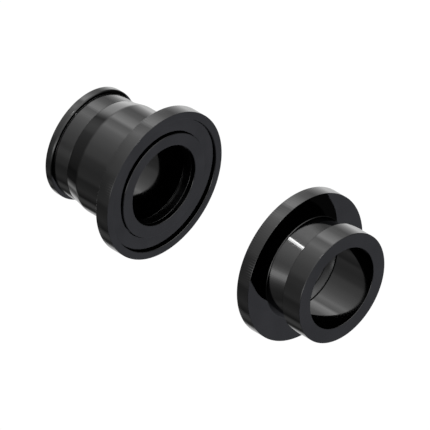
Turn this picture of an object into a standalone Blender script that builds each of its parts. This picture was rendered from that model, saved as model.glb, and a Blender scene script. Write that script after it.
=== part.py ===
# Press-fit bottom bracket for a 30 mm crank spindle: a long cup and a short cup, laid out on one axis with
# their crank-side flanges facing each other.
#
# X is the crank axis. The long cup lies at -X, the short cup at +X, and the origin is on the axis halfway
# between the assembly's two far ends. Each cup is drawn in its own frame: depth runs along the local +X, from
# the flange's crank-side face into the frame's shell, and the long side's frame is turned half round Z.
#
# Each cup holds a sealed thin-section ball bearing behind a dust cover. The inner race and the top-hat ring
# in front of it turn with the spindle; the balls and their cage follow at about half that speed.

import math

import bmesh
import bpy

MM = 0.001
FACETS = 40                        # flats round every turned piece
BALL_FACETS = 8                    # flats round a ball, and the steps from pole to pole are two fewer

# Clearances between neighbouring pieces
SEAT_GAP = 0.2 * MM                # pieces that are pressed or clipped together
RUN_GAP = 0.3 * MM                 # faces that turn past each other
BALL_GAP = 0.15 * MM               # ball to raceway and ball to cage pocket

# Spindle and bearing
SPINDLE_R = 15.0 * MM              # crank spindle, 30 mm
BALL_R = 0.8 * MM
BALL_COUNT = 20                    # in each bearing
RACE_FLOOR = 0.45 * MM             # steel left under the raceway groove
RACE_LIP = 0.6 * MM                # pitch circle to the shoulder of either race
CAGE_WALL = 0.5 * MM               # radial thickness of the cage
CAGE_FLOOR = 0.2 * MM              # ring behind the pockets
CAGE_TIP = 0.3 * MM                # how far the fingers reach past the ball centres
SEAL_T = 0.25 * MM
SEAL_INSET = 0.05 * MM             # seal face below the race face
GROOVE_POINTS = 5                  # corners along a raceway groove

# Flange and what sits in it, the same on both cups
SEAT_WALL = 2.7 * MM               # press-fit body outside the bearing
FLANGE_RISE = 7.0 * MM             # flange outside the press-fit body
FLANGE_T = 5.4 * MM
RIM_W = 2.8 * MM                   # rim left round the recess
EDGE = 0.25 * MM                   # broken outer edges
BRIM_W = 4.5 * MM                  # top-hat ring, spindle to outer edge
BRIM_DROP = 0.2 * MM               # its face below the flange face
BRIM_T = 1.3 * MM
NOSE_W = 0.8 * MM                  # sleeve of the top-hat ring that reaches the inner race
COVER_DROP = 1.1 * MM              # cover face below the flange face
COVER_T = 0.6 * MM
BORE_CLEARANCE = 0.15 * MM         # cup and sleeve bores round the spindle
RELIEF_DEPTH = 0.2 * MM            # step that keeps the shoulder off the inner race
RELIEF_R = 2.0 * MM                # its radius beyond the spindle

# Long cup and its centre sleeve, from the flange's inner face
LONG_SEAT = 16.3 * MM              # press-fit body
LEAD_IN = 5.6 * MM                 # taper from the press-fit body down to the sleeve body
SPIGOT_DEPTH = 5.2 * MM            # socket for the sleeve
SOCKET_WALL = 2.2 * MM             # inside the press-fit radius
SLEEVE_BODY = 6.5 * MM
SLEEVE_STEP = 1.2 * MM             # sleeve body below the press-fit radius
COLLAR = 2.85 * MM                 # end collar, at the press-fit radius
COLLAR_EDGE = 0.6 * MM             # chamfer on its inner corner
CORD_FLOOR = 1.55 * MM             # sleeve wall under the sealing ring's groove
CORD_SET_BACK = 1.1 * MM           # spigot end to the groove
CORD_SIDE = 0.4 * MM               # groove beyond the sealing ring, each side
CORD_CORNERS = 8                   # corners round the sealing ring's section

# Short cup, from the flange's inner face
SHORT_NECK = 9.45 * MM             # tapers inwards, away from the flange
SHORT_NECK_STEP = 1.6 * MM         # at the flange, below the press-fit radius
SHORT_NECK_WALL = 1.0 * MM         # at its thin end
SHORT_LAND = 8.15 * MM             # press-fit land

# Layout
FACE_SPACING = 62.05 * MM          # between the two flange faces

# Radii and depths that follow
PITCH_R = SPINDLE_R + RACE_FLOOR + BALL_GAP + BALL_R
BEARING_R = PITCH_R + BALL_R + BALL_GAP + RACE_FLOOR
BEARING_W = 2 * (BALL_R + BALL_GAP + CAGE_FLOOR + BALL_GAP + SEAL_T + SEAL_INSET)
PRESS_R = BEARING_R + SEAT_WALL
FLANGE_R = PRESS_R + FLANGE_RISE
RECESS_R = FLANGE_R - RIM_W
BORE_R = SPINDLE_R + BORE_CLEARANCE
BRIM_BACK = BRIM_DROP + BRIM_T
COVER_BACK = COVER_DROP + COVER_T
BEARING_FACE = COVER_BACK + RUN_GAP + SEAT_GAP / 2
BEARING_BACK = BEARING_FACE + BEARING_W
BALL_DEPTH = (BEARING_FACE + BEARING_BACK) / 2
SHOULDER = BEARING_BACK + SEAT_GAP
SEAT_END = FLANGE_T + LONG_SEAT
LONG_END = SEAT_END + LEAD_IN
SOCKET_R = PRESS_R - SOCKET_WALL
SOCKET_FLOOR = LONG_END - SPIGOT_DEPTH
SPIGOT_R = SOCKET_R - RUN_GAP
SPIGOT_END = SOCKET_FLOOR + RUN_GAP
SLEEVE_R = PRESS_R - SLEEVE_STEP
SLEEVE_END = LONG_END + SLEEVE_BODY
LONG_LENGTH = SLEEVE_END + COLLAR
LAND_START = FLANGE_T + SHORT_NECK
SHORT_LENGTH = LAND_START + SHORT_LAND
OVERALL = LONG_LENGTH + FACE_SPACING + SHORT_LENGTH


def finish(name, colour, roughness, metallic):
    """One material: a Principled BSDF with the piece's colour, roughness and metallic value."""
    material = bpy.data.materials.new(name)
    material.use_nodes = True
    shader = material.node_tree.nodes["Principled BSDF"]
    shader.inputs["Base Color"].default_value = (*colour, 1.0)
    shader.inputs["Roughness"].default_value = roughness
    shader.inputs["Metallic"].default_value = metallic
    material.diffuse_color = (*colour, 1.0)
    return material


def place(name, mesh, material, side, location=(0.0, 0.0, 0.0)):
    """Puts a mesh into the scene as a named piece of one side."""
    if not mesh.materials:
        mesh.materials.append(material)
    piece = bpy.data.objects.new(name, mesh)
    piece.location = location
    piece.parent = side
    bpy.context.scene.collection.objects.link(piece)
    return piece


def to_mesh(name, shape):
    """Turns a bmesh into a closed mesh with outward faces, smooth round the turned surfaces."""
    bmesh.ops.recalc_face_normals(shape, faces=shape.faces)
    mesh = bpy.data.meshes.new(name)
    shape.to_mesh(mesh)
    shape.free()
    mesh.shade_smooth()
    mesh.set_sharp_from_angle(angle=math.radians(30))
    return mesh


def turned(name, outline, material, side):
    """A ring: a closed outline of (depth, radius) corners spun once round the axis."""
    shape = bmesh.new()
    corners = [shape.verts.new((depth, 0.0, radius)) for depth, radius in outline]
    edges = [shape.edges.new((corner, corners[i - 1])) for i, corner in enumerate(corners)]
    bmesh.ops.spin(shape, geom=corners + edges, cent=(0.0, 0.0, 0.0), axis=(1.0, 0.0, 0.0),
                   angle=2 * math.pi, steps=FACETS, use_merge=True)
    return place(name, to_mesh(name, shape), material, side)


def groove(sign):
    """Corners of a raceway groove from back to front; sign is +1 on the outer race and -1 on the inner."""
    radius = BALL_R + BALL_GAP
    first = math.asin(RACE_LIP / radius)
    sweep = math.pi - 2 * first
    angles = [first + sweep * i / (GROOVE_POINTS - 1) for i in range(GROOVE_POINTS)]
    return [(BALL_DEPTH + radius * math.cos(a), PITCH_R + sign * radius * math.sin(a)) for a in angles]


def race(name, wall_r, sign, material, side):
    """A bearing race between the plain cylinder at wall_r and the raceway side."""
    lip_r = PITCH_R + sign * RACE_LIP
    outline = [(BEARING_FACE, lip_r), (BEARING_FACE, wall_r), (BEARING_BACK, wall_r), (BEARING_BACK, lip_r)]
    return turned(name, outline + groove(sign), material, side)


def seal(name, front, material, side):
    """A flat seal between the races, with its front face at the given depth."""
    half = RACE_LIP - RUN_GAP
    outline = [(front, PITCH_R - half), (front, PITCH_R + half),
               (front + SEAL_T, PITCH_R + half), (front + SEAL_T, PITCH_R - half)]
    return turned(name, outline, material, side)


def cage(name, material, side):
    """A crown cage: a thin ring behind the balls with one finger between each pair of them."""
    pocket = BALL_R + BALL_GAP
    back = BALL_DEPTH + pocket + CAGE_FLOOR
    tip = BALL_DEPTH - CAGE_TIP
    flank = 0.8 * pocket
    flank_depth = BALL_DEPTH + math.sqrt(pocket ** 2 - flank ** 2)
    shoulder = pocket + BALL_GAP / 2
    stations = [(-shoulder, tip), (-flank, flank_depth), (0.0, BALL_DEPTH + pocket),
                (flank, flank_depth), (shoulder, tip)]
    radii = (PITCH_R - CAGE_WALL / 2, PITCH_R + CAGE_WALL / 2)
    shape = bmesh.new()
    columns = []
    for ball in range(BALL_COUNT):
        for offset, front in stations:
            angle = 2 * math.pi * ball / BALL_COUNT + offset / PITCH_R
            y, z = math.cos(angle), math.sin(angle)
            corners = [(front, radii[0]), (front, radii[1]), (back, radii[1]), (back, radii[0])]
            columns.append([shape.verts.new((depth, r * y, r * z)) for depth, r in corners])
    for i, column in enumerate(columns):
        previous = columns[i - 1]
        for k in range(len(column)):
            shape.faces.new((previous[k - 1], previous[k], column[k], column[k - 1]))
    return place(name, to_mesh(name, shape), material, side)


def balls(prefix, mesh, material, side):
    """The ball set, evenly spaced on the pitch circle; all the balls share one mesh."""
    for i in range(BALL_COUNT):
        angle = 2 * math.pi * i / BALL_COUNT
        spot = (BALL_DEPTH, PITCH_R * math.cos(angle), PITCH_R * math.sin(angle))
        place(f"{prefix}_ball_{i + 1:02d}", mesh, material, side, spot)


def ball_mesh():
    """One bearing ball, its poles along the crank axis."""
    shape = bmesh.new()
    bmesh.ops.create_uvsphere(shape, u_segments=BALL_FACETS, v_segments=BALL_FACETS - 2, radius=BALL_R)
    return to_mesh("bearing_ball", shape)


def bearing(prefix, ball, looks, side):
    """Races, seals, cage and balls of one sealed bearing."""
    race(f"{prefix}_outer_race", BEARING_R, 1, looks["race"], side)
    race(f"{prefix}_inner_race", SPINDLE_R, -1, looks["race"], side)
    seal(f"{prefix}_outboard_seal", BEARING_FACE + SEAL_INSET, looks["seal"], side)
    seal(f"{prefix}_inboard_seal", BEARING_BACK - SEAL_INSET - SEAL_T, looks["seal"], side)
    cage(f"{prefix}_ball_cage", looks["cage"], side)
    balls(prefix, ball, looks["ball"], side)


def dust_cover(name, material, side):
    """The flat disc at the bottom of the flange's recess, open round the top-hat ring's brim."""
    inner = SPINDLE_R + BRIM_W + RUN_GAP
    outer = RECESS_R - SEAT_GAP
    outline = [(COVER_DROP, inner), (COVER_DROP, outer), (COVER_BACK, outer), (COVER_BACK, inner)]
    return turned(name, outline, material, side)


def top_hat(name, material, side):
    """The ring that the crank bears on: a wide brim inside the cover and a nose down to the inner race."""
    brim_r = SPINDLE_R + BRIM_W
    nose_r = SPINDLE_R + NOSE_W
    nose_end = BEARING_FACE - SEAT_GAP
    outline = [(BRIM_DROP, SPINDLE_R), (BRIM_DROP, brim_r), (BRIM_BACK, brim_r),
               (BRIM_BACK, nose_r), (nose_end, nose_r), (nose_end, SPINDLE_R)]
    return turned(name, outline, material, side)


def flange_front():
    """Outline from the bearing seat's shoulder out to the flange's inner face, shared by both cups."""
    seat_r = BEARING_R + SEAT_GAP
    relief_r = SPINDLE_R + RELIEF_R
    floor = SHOULDER + RELIEF_DEPTH
    seat_top = COVER_BACK + SEAT_GAP
    return [(floor, BORE_R), (floor, relief_r), (SHOULDER, relief_r), (SHOULDER, seat_r),
            (seat_top, seat_r), (seat_top, RECESS_R), (0.0, RECESS_R),
            (0.0, FLANGE_R - EDGE), (EDGE, FLANGE_R), (FLANGE_T - EDGE, FLANGE_R), (FLANGE_T, FLANGE_R - EDGE)]


def long_cup(material, side):
    """Flange, press-fit body and a tapered end that holds the socket for the centre sleeve."""
    outline = flange_front() + [
        (FLANGE_T, PRESS_R), (SEAT_END, PRESS_R), (LONG_END, SLEEVE_R),
        (LONG_END, SOCKET_R), (SOCKET_FLOOR, SOCKET_R), (SOCKET_FLOOR, BORE_R)]
    return turned("long_cup_shell", outline, material, side)


def short_cup(material, side):
    """Flange, a neck that tapers inwards and a land that steps back out to the press-fit radius."""
    outline = flange_front() + [
        (FLANGE_T, PRESS_R - SHORT_NECK_STEP), (LAND_START, BORE_R + SHORT_NECK_WALL),
        (LAND_START, PRESS_R - EDGE), (LAND_START + EDGE, PRESS_R),
        (SHORT_LENGTH - EDGE, PRESS_R), (SHORT_LENGTH, PRESS_R - EDGE), (SHORT_LENGTH, BORE_R)]
    return turned("short_cup_shell", outline, material, side)


def cord_groove():
    """Start, end and floor radius of the sealing ring's groove, and the radius of the ring's section."""
    floor_r = BORE_R + CORD_FLOOR
    cord_r = (SOCKET_R - floor_r) / 2 - RUN_GAP
    start = SPIGOT_END + CORD_SET_BACK
    return start, start + 2 * (cord_r + CORD_SIDE), floor_r, cord_r


def centre_sleeve(material, side):
    """Spigot with the sealing ring's groove, sleeve body and end collar."""
    start, end, floor_r, _ = cord_groove()
    outline = [
        (SPIGOT_END, BORE_R), (SPIGOT_END, SPIGOT_R),
        (start, SPIGOT_R), (start, floor_r), (end, floor_r), (end, SPIGOT_R),
        (LONG_END + SEAT_GAP, SPIGOT_R), (LONG_END + SEAT_GAP, SLEEVE_R),
        (SLEEVE_END, SLEEVE_R), (SLEEVE_END, PRESS_R - COLLAR_EDGE), (SLEEVE_END + COLLAR_EDGE, PRESS_R),
        (LONG_LENGTH - EDGE, PRESS_R), (LONG_LENGTH, PRESS_R - EDGE), (LONG_LENGTH, BORE_R)]
    return turned("centre_sleeve", outline, material, side)


def sealing_ring(material, side):
    """The round-section ring between the sleeve's spigot and the cup's socket."""
    start, end, floor_r, cord_r = cord_groove()
    depth = (start + end) / 2
    radius = (floor_r + SOCKET_R) / 2
    angles = [2 * math.pi * i / CORD_CORNERS for i in range(CORD_CORNERS)]
    outline = [(depth + cord_r * math.cos(a), radius + cord_r * math.sin(a)) for a in angles]
    return turned("sleeve_sealing_ring", outline, material, side)


def side_frame(name, x, half_turn):
    """An empty on the crank axis at a flange's crank-side face; local +X points into the shell."""
    frame = bpy.data.objects.new(name, None)
    frame.location = (x, 0.0, 0.0)
    frame.rotation_euler = (0.0, 0.0, math.pi if half_turn else 0.0)
    bpy.context.scene.collection.objects.link(frame)
    return frame


def build():
    for old in list(bpy.data.objects):
        bpy.data.objects.remove(old, do_unlink=True)
    shell_black = finish("cup_black", (0.022, 0.023, 0.025), 0.22, 0.0)
    sleeve_black = finish("sleeve_black", (0.022, 0.023, 0.025), 0.24, 0.0)
    cover_black = finish("cover_black", (0.024, 0.025, 0.027), 0.30, 0.0)
    ring_black = finish("ring_black", (0.022, 0.023, 0.025), 0.22, 0.0)
    rubber = finish("sealing_rubber", (0.015, 0.015, 0.015), 0.75, 0.0)
    looks = {
        "race": finish("race_black", (0.030, 0.030, 0.032), 0.25, 0.6),
        "ball": finish("ball_steel", (0.70, 0.71, 0.72), 0.08, 1.0),
        "cage": finish("cage_nylon", (0.35, 0.30, 0.22), 0.45, 0.0),
        "seal": finish("seal_rubber", (0.030, 0.030, 0.032), 0.65, 0.0),
    }
    long_side = side_frame("long_side", LONG_LENGTH - OVERALL / 2, True)
    short_side = side_frame("short_side", OVERALL / 2 - SHORT_LENGTH, False)
    ball = ball_mesh()
    long_cup(shell_black, long_side)
    centre_sleeve(sleeve_black, long_side)
    sealing_ring(rubber, long_side)
    short_cup(shell_black, short_side)
    for prefix, side in (("long", long_side), ("short", short_side)):
        dust_cover(f"{prefix}_dust_cover", cover_black, side)
        top_hat(f"{prefix}_top_hat_ring", ring_black, side)
        bearing(prefix, ball, looks, side)


build()
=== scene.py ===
import math

import bmesh
import bpy
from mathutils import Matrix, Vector


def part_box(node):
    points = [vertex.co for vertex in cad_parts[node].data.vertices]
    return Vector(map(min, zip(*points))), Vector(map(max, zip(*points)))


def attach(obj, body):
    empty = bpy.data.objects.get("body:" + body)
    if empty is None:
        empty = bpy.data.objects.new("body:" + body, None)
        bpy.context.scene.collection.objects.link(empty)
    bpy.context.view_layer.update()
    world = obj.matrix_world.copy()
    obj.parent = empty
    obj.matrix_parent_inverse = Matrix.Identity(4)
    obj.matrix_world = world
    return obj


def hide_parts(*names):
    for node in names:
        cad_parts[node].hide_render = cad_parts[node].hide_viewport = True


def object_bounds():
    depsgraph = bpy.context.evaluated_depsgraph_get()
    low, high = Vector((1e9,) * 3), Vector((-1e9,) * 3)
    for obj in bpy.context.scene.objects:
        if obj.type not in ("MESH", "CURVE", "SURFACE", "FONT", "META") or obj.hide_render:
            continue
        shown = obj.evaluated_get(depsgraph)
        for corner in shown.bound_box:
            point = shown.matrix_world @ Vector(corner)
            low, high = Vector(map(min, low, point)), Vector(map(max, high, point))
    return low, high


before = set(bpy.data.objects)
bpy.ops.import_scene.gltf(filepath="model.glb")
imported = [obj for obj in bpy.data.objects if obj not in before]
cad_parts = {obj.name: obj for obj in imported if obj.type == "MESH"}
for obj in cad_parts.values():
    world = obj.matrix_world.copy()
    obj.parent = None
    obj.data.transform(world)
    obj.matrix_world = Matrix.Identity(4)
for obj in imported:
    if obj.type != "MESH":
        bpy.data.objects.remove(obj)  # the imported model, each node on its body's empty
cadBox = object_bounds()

# Lengths in the dictionaries are millimetres. A corner of a turned outline is (depth, radius, rounding):
# depth runs along the crank axis from the cup's crank-side face into the shell.

mm = 0.001
sides = ("long", "short")
onCorner = 2e-6  # how far, in metres, a loop may be from the corner that it was made at


def faceAt(side):  # where the crank-side face is on the axis, and which way depth runs
    low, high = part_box(f"{side}_cup_shell")
    return (high.x, -1) if side == "long" else (low.x, 1)


def span(side, node):  # first depth, last depth and outer radius of a node
    low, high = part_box(node)
    face, way = faceAt(side)
    first, last = sorted(((low.x - face) * way / mm, (high.x - face) * way / mm))
    return first, last, high.z / mm


def deselectAll():
    if bpy.context.mode != "OBJECT":
        bpy.ops.object.mode_set(mode="OBJECT")
    bpy.ops.object.select_all(action="DESELECT")


def activate(piece):
    deselectAll()
    piece.select_set(True)
    bpy.context.view_layer.objects.active = piece


def selectEdges(piece, test):  # in edit mode: the edges whose two ends pass the test
    shape = bmesh.from_edit_mesh(piece.data)
    bpy.ops.mesh.select_all(action="DESELECT")
    for edge in shape.edges:
        if all(test(vert.co) for vert in edge.verts):
            edge.select_set(True)
    bmesh.update_edit_mesh(piece.data)


def smooth(piece, angle=35):
    activate(piece)
    bpy.ops.object.shade_smooth_by_angle(angle=math.radians(angle))
    weigh = piece.modifiers.new("weigh", "WEIGHTED_NORMAL")  # broad faces stay flat beside rounded edges
    weigh.keep_sharp = True
    bpy.ops.object.modifier_apply(modifier=weigh.name)


def turnRing(name, side, corners, flats=192, steps=4):  # a closed outline carried once round the axis
    face, way = faceAt(side)
    places = [(face + way * depth * mm, radius * mm, rounding * mm) for depth, radius, rounding in corners]
    x, radius, _ = places[0]
    deselectAll()
    bpy.ops.mesh.primitive_circle_add(vertices=flats, radius=radius, location=(x, 0, 0),
                                      rotation=(0, math.pi / 2, 0))
    ring = bpy.context.object
    ring.name = name
    bpy.ops.object.transform_apply(location=True, rotation=True, scale=True)
    bpy.ops.object.mode_set(mode="EDIT")
    bpy.ops.mesh.select_mode(type="EDGE")
    bpy.ops.mesh.select_all(action="SELECT")
    for nextX, nextRadius, _ in places[1:]:
        bpy.ops.mesh.extrude_edges_move(TRANSFORM_OT_translate={"value": (nextX - x, 0, 0)})
        grow = nextRadius / radius
        bpy.ops.transform.resize(value=(1, grow, grow), center_override=(0, 0, 0))
        x, radius = nextX, nextRadius
    bpy.ops.mesh.select_all(action="DESELECT")
    bpy.ops.mesh.select_non_manifold()  # the first and the last loop
    bpy.ops.mesh.bridge_edge_loops()
    bpy.ops.mesh.select_all(action="SELECT")
    bpy.ops.mesh.normals_make_consistent(inside=False)
    for width in sorted({rounding for _, _, rounding in places if rounding}):
        spots = [(x, radius) for x, radius, rounding in places if rounding == width]
        selectEdges(ring, lambda at: any(math.dist((at.x, math.hypot(at.y, at.z)), spot) < onCorner
                                         for spot in spots))
        bpy.ops.mesh.bevel(offset=width, segments=steps, profile=0.5, affect="EDGES")
    bpy.ops.object.mode_set(mode="OBJECT")
    smooth(ring)
    return ring


def stand(piece, node, body, slot):  # the piece takes a node's place on its body, in its slot's finish
    piece.data.materials.clear()
    piece.data.materials.append(finishes[slot])
    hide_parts(node)
    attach(piece, body)


def addNode(tree, kind, inputs=None, **settings):
    node = tree.nodes.new(kind)
    for key, value in settings.items():
        setattr(node, key, value)
    for key, value in (inputs or {}).items():
        node.inputs[key].default_value = value
    return node


def joinNodes(tree, *pairs):
    for out, into in pairs:
        tree.links.new(out, into)


pattern = {"ior": 1.5, "cloudDetail": 4.0, "cloudRoughness": 0.55, "cloudEnds": (0.3, 0.7),
           "grainDetail": 3.0, "wavesPerScale": 20, "lineWander": 0.6, "lineDetailScale": 0.01}


def makeFinish(look):
    material = bpy.data.materials.new(look["name"])
    material.use_nodes = True
    tree = material.node_tree
    shader = tree.nodes["Principled BSDF"]
    shader.inputs["Metallic"].default_value = look.get("metallic", 0.0)
    shader.inputs["IOR"].default_value = pattern["ior"]
    place = addNode(tree, "ShaderNodeTexCoord")
    cloud = addNode(tree, "ShaderNodeTexNoise", {
        "Scale": look["cloudScale"], "Detail": pattern["cloudDetail"],
        "Roughness": pattern["cloudRoughness"]})
    tint = addNode(tree, "ShaderNodeValToRGB")
    cloudEnds = pattern["cloudEnds"]
    for stop, colour, at in zip(tint.color_ramp.elements, (look["dark"], look["light"]), cloudEnds):
        stop.color = (*colour, 1.0)
        stop.position = at
    smoothest, roughest = look["roughness"]
    gloss = addNode(tree, "ShaderNodeMapRange", {"From Min": cloudEnds[0], "From Max": cloudEnds[1],
                                                 "To Min": smoothest, "To Max": roughest})
    grain = addNode(tree, "ShaderNodeTexNoise", {
        "Scale": look["grainScale"], "Detail": pattern["grainDetail"]})
    bump = addNode(tree, "ShaderNodeBump", {"Strength": 1.0, "Distance": look["grainHeight"]})
    joinNodes(tree, (place.outputs["Object"], cloud.inputs["Vector"]),
              (cloud.outputs["Fac"], tint.inputs["Fac"]),
              (tint.outputs["Color"], shader.inputs["Base Color"]),
              (cloud.outputs["Fac"], gloss.inputs["Value"]),
              (gloss.outputs["Result"], shader.inputs["Roughness"]),
              (place.outputs["Object"], grain.inputs["Vector"]),
              (grain.outputs["Fac"], bump.inputs["Height"]),
              (bump.outputs["Normal"], shader.inputs["Normal"]))
    if "lines" in look:  # fine lathe lines: rings on the faces, bands along the cylinders
        wave = {"Scale": 2 * math.pi / (pattern["wavesPerScale"] * look["lines"]),
                "Distortion": pattern["lineWander"], "Detail Scale": pattern["lineDetailScale"]}
        rings = addNode(tree, "ShaderNodeTexWave", wave, wave_type="RINGS", rings_direction="X")
        bands = addNode(tree, "ShaderNodeTexWave", wave, wave_type="BANDS", bands_direction="X")
        both = addNode(tree, "ShaderNodeMath", operation="ADD")
        turned = addNode(tree, "ShaderNodeBump", {"Strength": 1.0, "Distance": look["lineHeight"]})
        joinNodes(tree, (place.outputs["Object"], rings.inputs["Vector"]),
                  (place.outputs["Object"], bands.inputs["Vector"]),
                  (rings.outputs["Fac"], both.inputs[0]), (bands.outputs["Fac"], both.inputs[1]),
                  (both.outputs[0], turned.inputs["Height"]),
                  (turned.outputs["Normal"], bump.inputs["Normal"]))
    return material


cupLook = {"name": "glossBlackCup", "dark": (0.0100, 0.0102, 0.0114), "light": (0.0118, 0.0120, 0.0134),
           "roughness": (0.05, 0.08), "cloudScale": 90, "grainScale": 2600, "grainHeight": 2e-7,
           "lines": 0.00042, "lineHeight": 6e-8}
sleeveLook = dict(cupLook, name="glossBlackSleeve", roughness=(0.06, 0.09), lines=0.00034)
coverLook = dict(cupLook, name="satinBlackCover", roughness=(0.12, 0.18), cloudScale=140, lines=0.0005)
ringLook = dict(cupLook, name="glossBlackRing", roughness=(0.08, 0.12), lines=0.00036)
cordLook = {"name": "ringRubber", "dark": (0.010, 0.010, 0.010), "light": (0.020, 0.020, 0.020),
            "roughness": (0.62, 0.80), "cloudScale": 300, "grainScale": 5200, "grainHeight": 6e-6}
raceLook = {"name": "blackOxideSteel", "dark": (0.010, 0.010, 0.011), "light": (0.020, 0.020, 0.022),
            "roughness": (0.16, 0.26), "cloudScale": 260, "grainScale": 6000, "grainHeight": 4e-7,
            "lines": 0.00022, "lineHeight": 2e-7}
ballLook = {"name": "polishedSteel", "dark": (0.66, 0.67, 0.68), "light": (0.74, 0.75, 0.76),
            "metallic": 1.0, "roughness": (0.05, 0.10), "cloudScale": 800, "grainScale": 7000,
            "grainHeight": 1e-7}
cageLook = {"name": "naturalNylon", "dark": (0.30, 0.25, 0.17), "light": (0.40, 0.34, 0.25),
            "roughness": (0.38, 0.52), "cloudScale": 420, "grainScale": 4200, "grainHeight": 3e-6}
sealLook = {"name": "sealRubber", "dark": (0.022, 0.022, 0.024), "light": (0.036, 0.036, 0.040),
            "roughness": (0.52, 0.70), "cloudScale": 380, "grainScale": 5600, "grainHeight": 4e-6,
            "lines": 0.0003, "lineHeight": 2e-6}
looks = {"cup_black": cupLook, "sleeve_black": sleeveLook, "cover_black": coverLook, "ring_black": ringLook,
         "sealing_rubber": cordLook, "race_black": raceLook, "ball_steel": ballLook, "cage_nylon": cageLook,
         "seal_rubber": sealLook}
finishes = {slot: makeFinish(look) for slot, look in looks.items()}
print("finishes made:", len(finishes))


seatGap = 0.2
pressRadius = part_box("centre_sleeve")[1].z / mm  # the press-fit radius of both cups
flange = {"depth": 5.4, "boreRadius": 15.15, "reliefRadius": 17.0, "reliefDepth": 0.2,
          "outerRound": 0.14, "rimRound": 0.32, "footRound": 0.3, "innerRound": 0.08}


def flangeCorners(side):  # from the bearing's shoulder out to the flange's inner face
    coverBack, coverRadius = span(side, f"{side}_dust_cover")[1:]
    bearingBack, bearingRadius = span(side, f"{side}_outer_race")[1:]
    flangeRadius = span(side, f"{side}_cup_shell")[2]
    seatTop, shoulder = coverBack + seatGap, bearingBack + seatGap
    floor, inner = shoulder + flange["reliefDepth"], flange["innerRound"]
    return [(floor, flange["boreRadius"], inner), (floor, flange["reliefRadius"], 0),
            (shoulder, flange["reliefRadius"], inner), (shoulder, bearingRadius + seatGap, 0),
            (seatTop, bearingRadius + seatGap, inner), (seatTop, coverRadius + seatGap, inner),
            (0, coverRadius + seatGap, flange["rimRound"]), (0, flangeRadius, flange["outerRound"]),
            (flange["depth"], flangeRadius, flange["outerRound"])]


longCup = {"leadIn": 5.6, "socketWall": 2.2, "socketDepth": 5.2, "seatRound": 0.5, "socketRound": 0.12}
sleeve = {"bodyStep": 1.2, "collar": 2.85, "spigotGap": 0.3, "cordFloor": 1.55, "cordSide": 0.4,
          "jointGap": 0.04, "collarRound": 0.65, "round": 0.2, "fine": 0.08}


def makeLongCup():
    end = span("long", "long_cup_shell")[1]
    socketRadius, socketFloor = pressRadius - longCup["socketWall"], end - longCup["socketDepth"]
    return turnRing("longCupShell", "long", flangeCorners("long") + [
        (flange["depth"], pressRadius, flange["footRound"]),
        (end - longCup["leadIn"], pressRadius, longCup["seatRound"]),
        (end, pressRadius - sleeve["bodyStep"], sleeve["fine"]), (end, socketRadius, longCup["socketRound"]),
        (socketFloor, socketRadius, longCup["socketRound"]),
        (socketFloor, flange["boreRadius"], flange["innerRound"])])


shortCup = {"neckLength": 9.45, "neckStep": 1.6, "neckWall": 1.0, "neckRound": 0.3, "landRound": 0.22,
            "endRound": 0.25, "boreRound": 0.2}


def makeShortCup():
    end = span("short", "short_cup_shell")[1]
    land = flange["depth"] + shortCup["neckLength"]
    return turnRing("shortCupShell", "short", flangeCorners("short") + [
        (flange["depth"], pressRadius - shortCup["neckStep"], shortCup["neckRound"]),
        (land, flange["boreRadius"] + shortCup["neckWall"], shortCup["neckRound"]),
        (land, pressRadius, shortCup["landRound"]), (end, pressRadius, shortCup["endRound"]),
        (end, flange["boreRadius"], shortCup["boreRound"])])


def makeSleeve():
    start, end = span("long", "centre_sleeve")[:2]
    cupEnd = span("long", "long_cup_shell")[1]
    cordStart, cordEnd = span("long", "sleeve_sealing_ring")[:2]
    bore, spigot = flange["boreRadius"], pressRadius - longCup["socketWall"] - sleeve["spigotGap"]
    grooveStart, grooveEnd = cordStart - sleeve["cordSide"], cordEnd + sleeve["cordSide"]
    joint, collarStart = cupEnd + sleeve["jointGap"], end - sleeve["collar"]
    body, edge, fine = pressRadius - sleeve["bodyStep"], sleeve["round"], sleeve["fine"]
    return turnRing("centreSleeve", "long", [
        (start, bore, fine), (start, spigot, fine), (grooveStart, spigot, fine),
        (grooveStart, bore + sleeve["cordFloor"], fine), (grooveEnd, bore + sleeve["cordFloor"], fine),
        (grooveEnd, spigot, fine), (joint, spigot, fine), (joint, body, fine),
        (collarStart, body, fine), (collarStart, pressRadius, sleeve["collarRound"]),
        (end, pressRadius, edge), (end, bore, edge)])


stand(makeLongCup(), "long_cup_shell", "long_cup", "cup_black")
stand(makeShortCup(), "short_cup_shell", "short_cup", "cup_black")
stand(makeSleeve(), "centre_sleeve", "long_cup", "sleeve_black")
print("cups and sleeve turned")


cord = {"rounding": 0.97, "roundSteps": 5}  # rounding is a share of half the cord's thickness


def makeCord():  # a square section at first, whose bevels make it round
    first, last, outer = span("long", "sleeve_sealing_ring")
    size = last - first
    corners = [(first, outer - size), (first, outer), (last, outer), (last, outer - size)]
    rounding = size / 2 * cord["rounding"]
    return turnRing("sleeveSealingRing", "long", [(*corner, rounding) for corner in corners],
                    steps=cord["roundSteps"])


cover = {"brimGap": 0.3, "round": 0.08}
topHat = {"spindleRadius": 15.0, "noseWall": 0.8, "brimThickness": 1.3, "outerRound": 0.26,
          "boreRound": 0.28, "fine": 0.1}


def makeCover(side):
    front, back, radius = span(side, f"{side}_dust_cover")
    inner = span(side, f"{side}_top_hat_ring")[2] + cover["brimGap"]
    return turnRing(f"{side}DustCover", side, [(depth, radius, cover["round"]) for depth, radius in (
        (front, inner), (front, radius), (back, radius), (back, inner))])


def makeTopHat(side):
    front, end, radius = span(side, f"{side}_top_hat_ring")
    bore, back, fine = topHat["spindleRadius"], front + topHat["brimThickness"], topHat["fine"]
    nose = bore + topHat["noseWall"]
    return turnRing(f"{side}TopHatRing", side, [
        (front, bore, topHat["boreRound"]), (front, radius, topHat["outerRound"]), (back, radius, fine),
        (back, nose, fine), (end, nose, fine), (end, bore, fine)])


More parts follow.
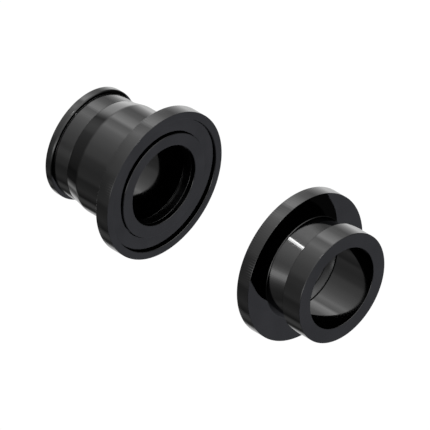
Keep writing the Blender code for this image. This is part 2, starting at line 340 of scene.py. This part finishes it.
stand(makeCord(), "sleeve_sealing_ring", "long_cup", "sealing_rubber")
for side in sides:
    stand(makeCover(side), f"{side}_dust_cover", f"{side}_cup", "cover_black")
    stand(makeTopHat(side), f"{side}_top_hat_ring", f"{side}_inner_ring", "ring_black")
print("covers and top-hat rings turned")


bearing = {"ballCount": 20, "ballGap": 0.15}
race = {"lip": 0.6, "groovePoints": 13, "edge": 0.15, "fine": 0.06}


def ballCentre(side):  # depth, pitch radius and ball radius
    low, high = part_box(f"{side}_ball_01")
    face, way = faceAt(side)
    middle = (low + high) / 2
    return (middle.x - face) * way / mm, math.hypot(middle.y, middle.z) / mm, (high.x - low.x) / 2 / mm


def makeRace(side, name, wall, sign):  # sign is 1 for the outer race and -1 for the inner
    front, back, _ = span(side, f"{side}_{name}_race")
    depth, pitch, ball = ballCentre(side)
    grooveRadius = ball + bearing["ballGap"]
    first = math.asin(race["lip"] / grooveRadius)
    sweep = math.pi - 2 * first
    angles = [first + sweep * i / (race["groovePoints"] - 1) for i in range(race["groovePoints"])]
    groove = [(depth + grooveRadius * math.cos(angle), pitch + sign * grooveRadius * math.sin(angle), 0)
              for angle in angles]
    lip = pitch + sign * race["lip"]
    return turnRing(f"{side}{name.capitalize()}Race", side, [
        (front, lip, race["fine"]), (front, wall, race["edge"]), (back, wall, race["edge"]),
        (back, lip, race["fine"])] + groove)


seal = {"bead": 0.05, "beadWidth": 0.16, "beadFoot": 0.2, "round": 0.02, "roundSteps": 2}


def makeSeal(side, name):  # a flat washer with a raised bead along its outer and its inner edge
    front, back, outer = span(side, f"{side}_{name}_seal")
    pitch = ballCentre(side)[1]
    inner, web = 2 * pitch - outer, front + seal["bead"]
    top, foot = seal["beadWidth"], seal["beadFoot"]
    outline = [(front, inner), (front, inner + top), (web, inner + foot), (web, outer - foot),
               (front, outer - top), (front, outer), (back, outer), (back, inner)]
    return turnRing(f"{side}{name.capitalize()}Seal", side, [(*corner, seal["round"]) for corner in outline],
                    steps=seal["roundSteps"])


ballShape = {"cubeSize": 1.6, "cuts": 6}  # the size is in ball radii


def makeBall():  # at the origin; every ball and every pocket cutter is a copy of it
    radius = ballCentre("long")[2]
    deselectAll()
    bpy.ops.mesh.primitive_cube_add(size=ballShape["cubeSize"] * radius * mm)
    ball = bpy.context.object
    ball.name = "bearingBall"
    bpy.ops.object.mode_set(mode="EDIT")
    bpy.ops.mesh.select_all(action="SELECT")
    bpy.ops.mesh.subdivide(number_cuts=ballShape["cuts"], smoothness=0)
    bpy.ops.object.mode_set(mode="OBJECT")
    cast = ball.modifiers.new("cast", "CAST")  # blows the cube up into a ball of even faces
    cast.factor = 1.0
    cast.use_radius_as_size = False
    cast.size = radius * mm
    bpy.ops.object.modifier_apply(modifier=cast.name)
    bpy.ops.object.shade_smooth()
    return ball


def copyBall(ball, side, number, name, swell=1.0):
    low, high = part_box(f"{side}_ball_{number:02d}")
    copy = ball.copy()
    copy.data = ball.data.copy()
    copy.name = name
    bpy.context.collection.objects.link(copy)
    copy.scale = (swell, swell, swell)
    copy.location = (low + high) / 2
    activate(copy)
    bpy.ops.object.transform_apply(location=True, scale=True)
    return copy


ballNumbers = range(1, bearing["ballCount"] + 1)
cage = {"wall": 0.5, "floor": 0.2, "tip": 0.3, "flats": 160}


def makeCage(side, ball):  # a crown: a ring cut by one round pocket for each ball
    depth, pitch, radius = ballCentre(side)
    pocket, half = radius + bearing["ballGap"], cage["wall"] / 2
    back, tip = depth + pocket + cage["floor"], depth - cage["tip"]
    ring = turnRing(f"{side}BallCage", side, [
        (tip, pitch - half, 0), (tip, pitch + half, 0), (back, pitch + half, 0), (back, pitch - half, 0)],
        flats=cage["flats"])
    cutters = [copyBall(ball, side, number, "pocketCutter", pocket / radius) for number in ballNumbers]
    deselectAll()
    for cutter in cutters:
        cutter.select_set(True)
    bpy.context.view_layer.objects.active = cutters[0]
    bpy.ops.object.join()
    cutter = bpy.context.object
    activate(ring)
    cut = ring.modifiers.new("pockets", "BOOLEAN")
    cut.operation = "DIFFERENCE"
    cut.object = cutter
    bpy.ops.object.modifier_apply(modifier=cut.name)
    bpy.data.objects.remove(cutter, do_unlink=True)
    smooth(ring)
    return ring


ball = makeBall()
for side in sides:
    outerWall = span(side, f"{side}_outer_race")[2]
    outerRace = makeRace(side, "outer", outerWall, 1)
    stand(outerRace, f"{side}_outer_race", f"{side}_cup", "race_black")
    innerRace = makeRace(side, "inner", topHat["spindleRadius"], -1)
    stand(innerRace, f"{side}_inner_race", f"{side}_inner_ring", "race_black")
    for name in ("outboard", "inboard"):
        stand(makeSeal(side, name), f"{side}_{name}_seal", f"{side}_cup", "seal_rubber")
    stand(makeCage(side, ball), f"{side}_ball_cage", f"{side}_ball_set", "cage_nylon")
    for number in ballNumbers:
        oneBall = copyBall(ball, side, number, f"{side}Ball{number:02d}")
        stand(oneBall, f"{side}_ball_{number:02d}", f"{side}_ball_set", "ball_steel")
    print(side, "bearing assembled")
bpy.data.objects.remove(ball, do_unlink=True)


floorLook = {"size": 6.0, "drop": 0.0006, "brightness": 1.02}


def makeFloor():
    deselectAll()
    height = cadBox[0].z - floorLook["drop"]
    bpy.ops.mesh.primitive_plane_add(size=floorLook["size"], location=(0, 0, height))
    floor = bpy.context.object
    floor.name = "floor"
    bpy.ops.object.transform_apply(location=True)
    material = bpy.data.materials.new("paleFloor")
    material.use_nodes = True
    tree = material.node_tree
    tree.nodes.clear()
    glow = addNode(tree, "ShaderNodeEmission", {"Color": (1, 1, 1, 1), "Strength": floorLook["brightness"]})
    out = addNode(tree, "ShaderNodeOutputMaterial")
    joinNodes(tree, (glow.outputs[0], out.inputs["Surface"]))
    floor.data.materials.append(material)
    floor.visible_glossy = floor.visible_diffuse = floor.visible_shadow = False


cameraLook = {"toward": (1, -1, 1), "distance": 0.4, "width": 0.1457, "clip": (0.01, 10)}


def makeCamera():
    deselectAll()
    toward = Vector(cameraLook["toward"]).normalized()
    bpy.ops.object.camera_add(location=toward * cameraLook["distance"])
    camera = bpy.context.object
    camera.rotation_euler = (-toward).to_track_quat("-Z", "Y").to_euler()
    camera.data.type = "ORTHO"
    camera.data.ortho_scale = cameraLook["width"]
    camera.data.clip_start, camera.data.clip_end = cameraLook["clip"]
    bpy.context.scene.camera = camera


# Brightness of the studio round the crank axis, as (degrees, level): 0 is +Y and 90 is straight up. Each
# ring has its place along the axis, from -1 at the long cup's end to 1 at the short cup's end. Most levels
# were worked out by a separate fitting script and rounded, so they are not a designed set of lamps.
studio = {
    "peak": 4.0,
    "firstReflection": 2.5,  # the ray depth is 2 where a first reflection meets the studio, 3 after a second
    "rings": [
        (-0.82, [(-180, 0.20), (-152, 0.11), (-143, 0.05), (-117, 0.03), (-108, 0.57), (-100, 1.4),
                 (-92, 0.36), (-84, 0.77), (-76, 1.94), (-53, 1.25), (-35, 1.35), (-18, 1.9), (6, 2.25),
                 (40, 2.35), (49, 1.7), (58, 0.78), (67, 0.33), (77, 0.57), (92, 0.75), (107, 0.66),
                 (117, 0.43), (138, 0.32)]),
        (-0.577, [(-180, 0.36), (-159, 0.39), (-151, 0.21), (-127, 0.25), (-111, 0.06), (-103, 0.26),
                  (-95, 0.21), (-87, 0.05), (-79, 0.07), (-70, 0.75), (-39, 0.75), (-23, 1.05), (-9, 1.75),
                  (1, 1.45), (25, 0.70), (41, 1.2), (57, 2.7), (65, 3.5), (73, 1.7), (81, 2.1), (89, 2.65),
                  (97, 2.0), (113, 1.43), (137, 0.97), (153, 0.82), (163, 0.50)]),
        (-0.25, [(-180, 3.3), (-173, 1.4), (-165, 0.66), (-157, 0.45), (-150, 0.35), (-130, 0.19),
                 (-116, 0.27), (-102, 0.08), (-60, 0.1), (-20, 0.27), (16, 0.30), (30, 0.62), (44, 1.3),
                 (58, 2.6), (79, 2.8), (93, 2.1), (115, 2.0), (137, 1.4), (151, 1.1), (159, 1.3),
                 (166, 1.9), (173, 3.7)]),
        (0.3, [(-180, 3.3), (-173, 1.4), (-165, 0.66), (-157, 0.3), (-150, 0.05), (-20, 0.02), (10, 0.1),
               (30, 0.3), (50, 1.6), (79, 2.4), (115, 2.0), (137, 1.4), (151, 1.1), (159, 1.3), (166, 1.9),
               (173, 3.7)])],
}


def makeWorld():
    world = bpy.data.worlds.new("studio")
    bpy.context.scene.world = world
    world.use_nodes = True
    tree = world.node_tree
    tree.nodes.clear()
    place = addNode(tree, "ShaderNodeTexCoord")
    axes = addNode(tree, "ShaderNodeSeparateXYZ")
    angle = addNode(tree, "ShaderNodeMath", operation="ARCTAN2")
    turn = addNode(tree, "ShaderNodeMapRange", {"From Min": -math.pi, "From Max": math.pi})
    joinNodes(tree, (place.outputs["Generated"], axes.inputs[0]), (axes.outputs["Z"], angle.inputs[0]),
              (axes.outputs["Y"], angle.inputs[1]), (angle.outputs[0], turn.inputs["Value"]))
    lit, lastPlace = None, None
    for ringPlace, levels in studio["rings"]:
        ramp = addNode(tree, "ShaderNodeValToRGB")
        stops = ramp.color_ramp.elements
        stops[-1].position = 1.0
        for i, (degrees, level) in enumerate(levels + [(180, levels[0][1])]):
            stop = stops[0] if i == 0 else stops[-1] if degrees == 180 else stops.new((degrees + 180) / 360)
            stop.color = (*(level / studio["peak"],) * 3, 1)
        joinNodes(tree, (turn.outputs["Result"], ramp.inputs["Fac"]))
        if lit is None:
            lit = ramp.outputs["Color"]
        else:
            blend = addNode(tree, "ShaderNodeMix", data_type="RGBA")
            along = addNode(tree, "ShaderNodeMapRange", {"From Min": lastPlace, "From Max": ringPlace})
            joinNodes(tree, (axes.outputs["X"], along.inputs["Value"]),
                      (along.outputs["Result"], blend.inputs["Factor"]), (lit, blend.inputs[6]),
                      (ramp.outputs["Color"], blend.inputs[7]))
            lit = blend.outputs[2]
        lastPlace = ringPlace
    light = addNode(tree, "ShaderNodeBackground")
    backdrop = addNode(tree, "ShaderNodeBackground", {"Color": (1, 1, 1, 1),
                                                      "Strength": floorLook["brightness"]})
    path = addNode(tree, "ShaderNodeLightPath")
    near = addNode(tree, "ShaderNodeMath", {1: studio["firstReflection"]}, operation="LESS_THAN")
    strength = addNode(tree, "ShaderNodeMath", {1: studio["peak"]}, operation="MULTIPLY")
    choose = addNode(tree, "ShaderNodeMixShader")
    out = addNode(tree, "ShaderNodeOutputWorld")
    joinNodes(tree, (path.outputs["Ray Depth"], near.inputs[0]), (near.outputs[0], strength.inputs[0]),
              (strength.outputs[0], light.inputs["Strength"]), (lit, light.inputs["Color"]),
              (path.outputs["Is Camera Ray"], choose.inputs[0]), (light.outputs[0], choose.inputs[1]),
              (backdrop.outputs[0], choose.inputs[2]), (choose.outputs[0], out.inputs["Surface"]))
    world.cycles_visibility.diffuse = False


lamps = {
    "key": {"kind": "SUN", "from": (0.62, 0.34, -0.71), "energy": 14.2, "size": 0.02, "distance": 1.0},
    "overhead": {"kind": "AREA", "from": (-0.06, -0.24, 0.96), "energy": 1.15, "size": (0.09, 0.17),
                 "distance": 0.9},
}


def makeLamps():
    for name, look in lamps.items():
        deselectAll()
        toward = Vector(look["from"]).normalized()
        bpy.ops.object.light_add(type=look["kind"], location=toward * look["distance"])
        lamp = bpy.context.object
        lamp.name = name
        lamp.rotation_euler = toward.to_track_quat("Z", "Y").to_euler()
        lamp.data.energy = look["energy"]
        if look["kind"] == "SUN":
            lamp.data.angle = look["size"]
            lamp.visible_glossy = False  # it lights the faces and casts shadows, and isn't mirrored
        else:
            lamp.data.shape = "RECTANGLE"
            lamp.data.size, lamp.data.size_y = look["size"]
            lamp.visible_camera = False


makeFloor()
makeCamera()
makeWorld()
makeLamps()
bpy.context.scene.view_settings.view_transform = "Standard"
print("studio set up")
